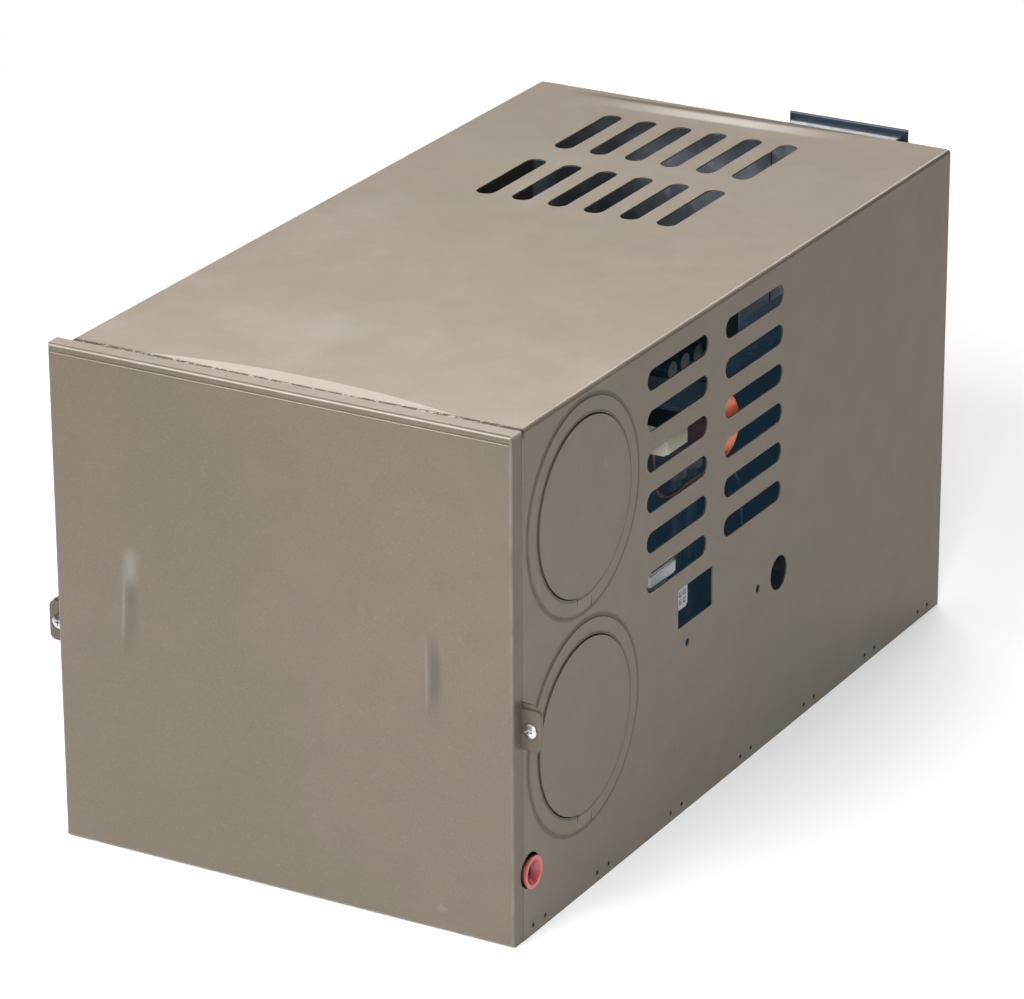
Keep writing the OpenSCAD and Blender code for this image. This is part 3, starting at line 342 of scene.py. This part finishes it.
# ---------------------------------------------------------------------------
# Zinc-coated sheet: base, rear sheet, duct collar, bulkhead, burner box, blower casings and
# wheels are cut from it. Its crystals show as dull patches of slightly different grey.
def galvanised(name, crystals, shade):
    zinc = Finish(name, Metallic=0.88)
    lit, other, _ = zinc.axes(zinc.cells(crystals, out="Color"))
    streak = zinc.noise(1.0, 3.0, 0.6, zinc.stretched((300.0, 40.0, 40.0)))
    tone = zinc.mixed(lit, tuple(c * 0.86 for c in shade), tuple(c * 1.12 for c in shade))
    stain = zinc.steps(zinc.noise(14.0, 3.0), 0.55, 0.8) * 0.35
    zinc.set(Base_Color=zinc.mixed(stain, tone, tuple(c * 0.8 for c in shade)),
             Roughness=0.34 + 0.16 * other + 0.10 * streak,
             Normal=zinc.bump(zinc.noise(600.0, 2.0), 0.00002))
    return zinc


sheet_zinc = galvanised("zinc_coated_sheet", 130.0, (0.50, 0.54, 0.58))
for name in ("base_pan", "rear_panel", "bulkhead", "inlet_ring", "burner_box"):
    wear(name, sheet_zinc)
# The blower casings' zinc is coloured nearly black: painted shade for the dim inside of the cabinet
shaded_scroll_zinc = galvanised("zinc_coated_scroll", 130.0, (0.040, 0.080, 0.120))
# A faint painted glow, though these parts are no lamps, keeps the shadows in the cabinet a deep navy
painted_navy_glow = {"Emission_Color": (0.25, 0.62, 1.0), "Emission_Strength": 0.026}
shaded_scroll_zinc.set(**painted_navy_glow)
for name in ("blower_housing", "combustion_housing"):
    wear(name, shaded_scroll_zinc)
# The collar is coloured dark as painted shade and reflection, darkest on its flange's face. Its top
# plate is lighter as painted light, and the upper edge of its flange and a crease across it are painted
# highlights
collar_shade, flange_painted_shade, highlight_shade = (0.10, 0.125, 0.155), (0.030, 0.042, 0.058), (0.22, 0.24, 0.27)
collar_finish = galvanised("zinc_coated_collar", 190.0, collar_shade)
_, back, up = collar_finish.axes()
collar_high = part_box("vent_collar")[1]
flange_y, flange_top, plate_z = collar_high.y - 0.0014, collar_high.z, collar_high.z - 0.0059
flange = collar_finish.steps(back, flange_y, flange_y + 0.0002)
plate = collar_finish.steps(abs(up - plate_z), 0.0010, 0.0008)
crease = collar_finish.steps(abs(up - (flange_top - 0.0021)), 0.0006, 0.0003)
edge = collar_finish.steps(up, flange_top - 0.0004, flange_top - 0.0001)
painted_highlight = (plate * (1.0 - flange)).most(flange * crease.most(edge))
dull = collar_finish.mixed(flange, collar_shade, flange_painted_shade)
dull = collar_finish.mixed(collar_finish.noise(90.0) * 0.4, dull, (0.07, 0.09, 0.11))
collar_finish.set(Base_Color=collar_finish.mixed(painted_highlight, dull, highlight_shade))
wear("vent_collar", collar_finish)
wheel_zinc = galvanised("zinc_coated_wheel", 220.0, (0.64, 0.66, 0.66))
for name in ("room_air_wheel", "combustion_wheel", "sail_paddle"):
    wear(name, wheel_zinc)


# ---------------------------------------------------------------------------
# Fasteners: bright zinc screws hold the panel and the collar, and small clinched rivets, coloured
# nearly black as painted shade, hold the base. The steel pipes and the enamelled brackets are coloured
# nearly black too, as painted shade.
screw_finish = Finish("bright_zinc", Metallic=1.0)
turned = screw_finish.noise(1.0, 2.0, 0.5, screw_finish.stretched((900.0, 200.0, 900.0)))
screw_finish.set(
    Base_Color=screw_finish.mixed(screw_finish.noise(260.0), (0.36, 0.36, 0.36), (0.60, 0.60, 0.58)),
    Roughness=0.22 + 0.18 * turned,
    Normal=screw_finish.bump(turned, 0.00002))
for name in ("panel_screws", "collar_screws", "motor_shaft"):
    wear(name, screw_finish)


def dark_metal(name, shade, gloss):
    metal = Finish(name, Metallic=0.75)
    dust = metal.noise(38.0, 4.0, 0.6)
    lighter = tuple(min(1.0, c * 1.5 + 0.008) for c in shade)
    metal.set(Base_Color=metal.mixed(metal.steps(dust, 0.35, 0.75), shade, lighter),
              Roughness=gloss + 0.15 * dust,
              Normal=metal.bump(metal.noise(420.0, 3.0), 0.00003))
    return metal


# The rivets are coloured nearly black: painted shade, as of the holes they sit in
wear("base_rivets", dark_metal("dark_rivet", (0.020, 0.018, 0.016), 0.40))
# Pipes and brackets are coloured nearly black: painted shade for the dim inside of the cabinet
pipe_finish = dark_metal("pipe_steel", (0.012, 0.020, 0.028), 0.42)
pipe_finish.set(**painted_navy_glow)
for name in ("gas_manifold", "gas_pipe", "exhaust_tube", "intake_tube"):
    wear(name, pipe_finish)
bracket_finish = dark_metal("bracket_enamel", (0.012, 0.020, 0.030), 0.45)
bracket_finish.set(**painted_navy_glow)
for name in ("control_bracket", "motor_bracket"):
    wear(name, bracket_finish)


# ---------------------------------------------------------------------------
# Heat exchanger and burner: aluminised steel, stamped in two halves. Heat has turned it
# straw and blue round the combustion chamber, low down on the right.
chamber_x, chamber_z = 0.072, 0.075
ramp_per_metre = 7.0
heat_finish = Finish("heat_tinted_steel", Metallic=0.85)
x, _, z = heat_finish.axes()
off_x, off_z = x - chamber_x, z - chamber_z
far = (off_x * off_x + off_z * off_z) ** 0.5
glow = far * ramp_per_metre + 0.18 * heat_finish.noise(24.0, 3.0)
tint = heat_finish.node("ShaderNodeValToRGB", {"stops": (
    (0.00, (0.16, 0.13, 0.13)), (0.22, (0.20, 0.22, 0.32)), (0.40, (0.42, 0.30, 0.22)),
    (0.62, (0.52, 0.46, 0.34)), (1.00, (0.50, 0.50, 0.48)))}, {0: glow})
heat_finish.set(
    Base_Color=heat_finish.mixed(heat_finish.noise(75.0, 4.0) * 0.5, tint, (0.36, 0.35, 0.33)),
    Roughness=0.42 + 0.22 * heat_finish.noise(55.0, 3.0),
    Normal=heat_finish.bump(heat_finish.noise(300.0, 3.0), 0.00005))
for name in ("heat_exchanger_front", "heat_exchanger_rear", "burner"):
    wear(name, heat_finish)


# ---------------------------------------------------------------------------
# Gas line: machined brass fittings, a die-cast valve body, and a moulded red cap that keeps
# dirt out of the inlet until the gas is connected.
brass_finish = Finish("machined_brass", Metallic=1.0)
ring = brass_finish.noise(1.0, 1.0, 0.4, brass_finish.stretched((1400.0, 60.0, 60.0)))
brass_finish.set(
    Base_Color=brass_finish.mixed(brass_finish.noise(90.0, 3.0), (0.58, 0.42, 0.17), (0.78, 0.62, 0.31)),
    Roughness=0.24 + 0.16 * ring, Normal=brass_finish.bump(ring, 0.00002))
for name in ("gas_orifice", "inlet_fitting"):
    wear(name, brass_finish)

# The valve body is coloured nearly black: painted shade for the dim inside of the cabinet
cast_finish = Finish("die_cast_alloy", Metallic=0.6, **painted_navy_glow)
skin = cast_finish.noise(230.0, 4.0, 0.6)
cast_finish.set(
    Base_Color=cast_finish.mixed(skin, (0.060, 0.042, 0.045), (0.085, 0.062, 0.060)),
    Roughness=0.46 + 0.16 * skin, Normal=cast_finish.bump(skin, 0.00012))
wear("gas_valve", cast_finish)


def moulded(name, rough, shade=None, vary=0.12, grain=700.0, depth=0.00002, **more):
    """A plastic skin. Without a shade, its colour is set by the lines that follow."""
    plastic = Finish(name, **more)
    skin = plastic.noise(grain, 2.0)
    if shade:
        plastic.set(Base_Color=plastic.mixed(plastic.noise(40.0), tuple(c * (1 - vary) for c in shade),
                                             tuple(min(1.0, c * (1 + vary)) for c in shade)))
    plastic.set(Roughness=rough + 0.12 * skin, Normal=plastic.bump(skin, depth))
    return plastic


# The cap's dish darkens towards its middle and down the stem: painted shade in the hollow
cap_ramp_per_metre = 100.0
cap_finish = moulded("red_cap_plastic", 0.26, Subsurface_Weight=0.15,
                     Subsurface_Radius=(0.004, 0.001, 0.0006))
_, cap_y, cap_z = cap_finish.axes()
cap_low, cap_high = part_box("inlet_cap")
off_y, off_z = cap_y - (cap_low.y + cap_high.y) / 2, cap_z - (cap_low.z + cap_high.z) / 2
from_axis = (off_y * off_y + off_z * off_z) ** 0.5
cap_finish.set(Base_Color=cap_finish.node("ShaderNodeValToRGB", {"stops": (
    (0.00, (0.040, 0.030, 0.030)), (0.36, (0.060, 0.022, 0.020)), (0.55, (0.25, 0.035, 0.030)),
    (0.72, (0.30, 0.045, 0.042)), (0.78, (0.40, 0.090, 0.080)))}, {0: from_axis * cap_ramp_per_metre}))
wear("inlet_cap", cap_finish)
# The coil is near-black round its sides and red on its end face
coil_finish = moulded("coil_varnish", 0.34, grain=240.0, depth=0.00008)
coil_x, _, _ = coil_finish.axes()
face_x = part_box("solenoid_coils")[1].x - 0.0022
side_colour = coil_finish.mixed(coil_finish.noise(220.0), (0.030, 0.017, 0.022), (0.060, 0.034, 0.036))
coil_finish.set(Base_Color=coil_finish.mixed(
    coil_finish.steps(coil_x, face_x, face_x + 0.0003), side_colour,
    coil_finish.mixed(coil_finish.noise(40.0), (0.52, 0.10, 0.05), (0.70, 0.17, 0.08))))
wear("solenoid_coils", coil_finish)


# ---------------------------------------------------------------------------
# Motor: a drawn steel can in black enamel, with a turned seam at each end. Its one shaft
# drives both wheels.
wear("motor", dark_metal("motor_enamel", (0.045, 0.045, 0.05), 0.30))


# ---------------------------------------------------------------------------
# Controls: a dark blue-green board, a moulded relay, terminal strip and switches, and their
# plastic-covered leads. They stand on the control bracket, behind the slots.
# The board's blue-green is darkened nearly to black: painted shade for the dim inside of the cabinet
board_finish = Finish("solder_mask", Metallic=0.0)
track = board_finish.cells(260.0, feature="DISTANCE_TO_EDGE")
copper = board_finish.steps(track, 0.10, 0.06) * board_finish.steps(board_finish.noise(60.0), 0.42, 0.52)
board_finish.set(
    Base_Color=board_finish.mixed(copper, (0.005, 0.016, 0.024), (0.012, 0.040, 0.050)),
    Roughness=0.30 + 0.10 * board_finish.noise(300.0),
    Normal=board_finish.bump(copper, 0.00003))
wear("module_board", board_finish)
# The relay's case is ivory, and its top is coloured near-black as painted shade
relay_finish = moulded("relay_case", 0.38)
_, _, up = relay_finish.axes()
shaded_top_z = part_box("relay")[1].z - 0.0004
relay_finish.set(Base_Color=relay_finish.mixed(
    relay_finish.steps(up, shaded_top_z - 0.0002, shaded_top_z),
    relay_finish.mixed(relay_finish.noise(40.0), (0.46, 0.42, 0.33), (0.58, 0.54, 0.43)),
    (0.012, 0.018, 0.026)))
wear("relay", relay_finish)
# The terminal block is black, with a white marker strip stuck along its outer face
marker_x = 0.138
strip_finish = moulded("strip_plastic", 0.42)
out_x, _, _ = strip_finish.axes()
marker = strip_finish.steps(out_x, marker_x - 0.00005, marker_x + 0.00005)
strip_finish.set(Base_Color=strip_finish.mixed(
    marker, (0.030, 0.032, 0.036),
    strip_finish.mixed(strip_finish.noise(150.0), (0.62, 0.62, 0.68), (0.78, 0.78, 0.84))))
wear("terminal_block", strip_finish)
wear("wiring_connector", moulded("socket_plastic", 0.36, (0.26, 0.26, 0.29)))
wear("breaker_button", moulded("button_plastic", 0.30, (0.75, 0.75, 0.74)))
wear("electrode", moulded("glazed_ceramic", 0.12, (0.86, 0.85, 0.80), 0.05))
black_finish = moulded("black_plastic", 0.42, (0.035, 0.035, 0.038), 0.2, 500.0, 0.00003)
for name in ("circuit_breaker", "limit_switch", "sail_switch"):
    wear(name, black_finish)
wear("orange_wires", moulded("orange_lead", 0.34, (0.085, 0.034, 0.026)))
wear("blue_wires", moulded("blue_lead", 0.34, (0.030, 0.085, 0.17)))
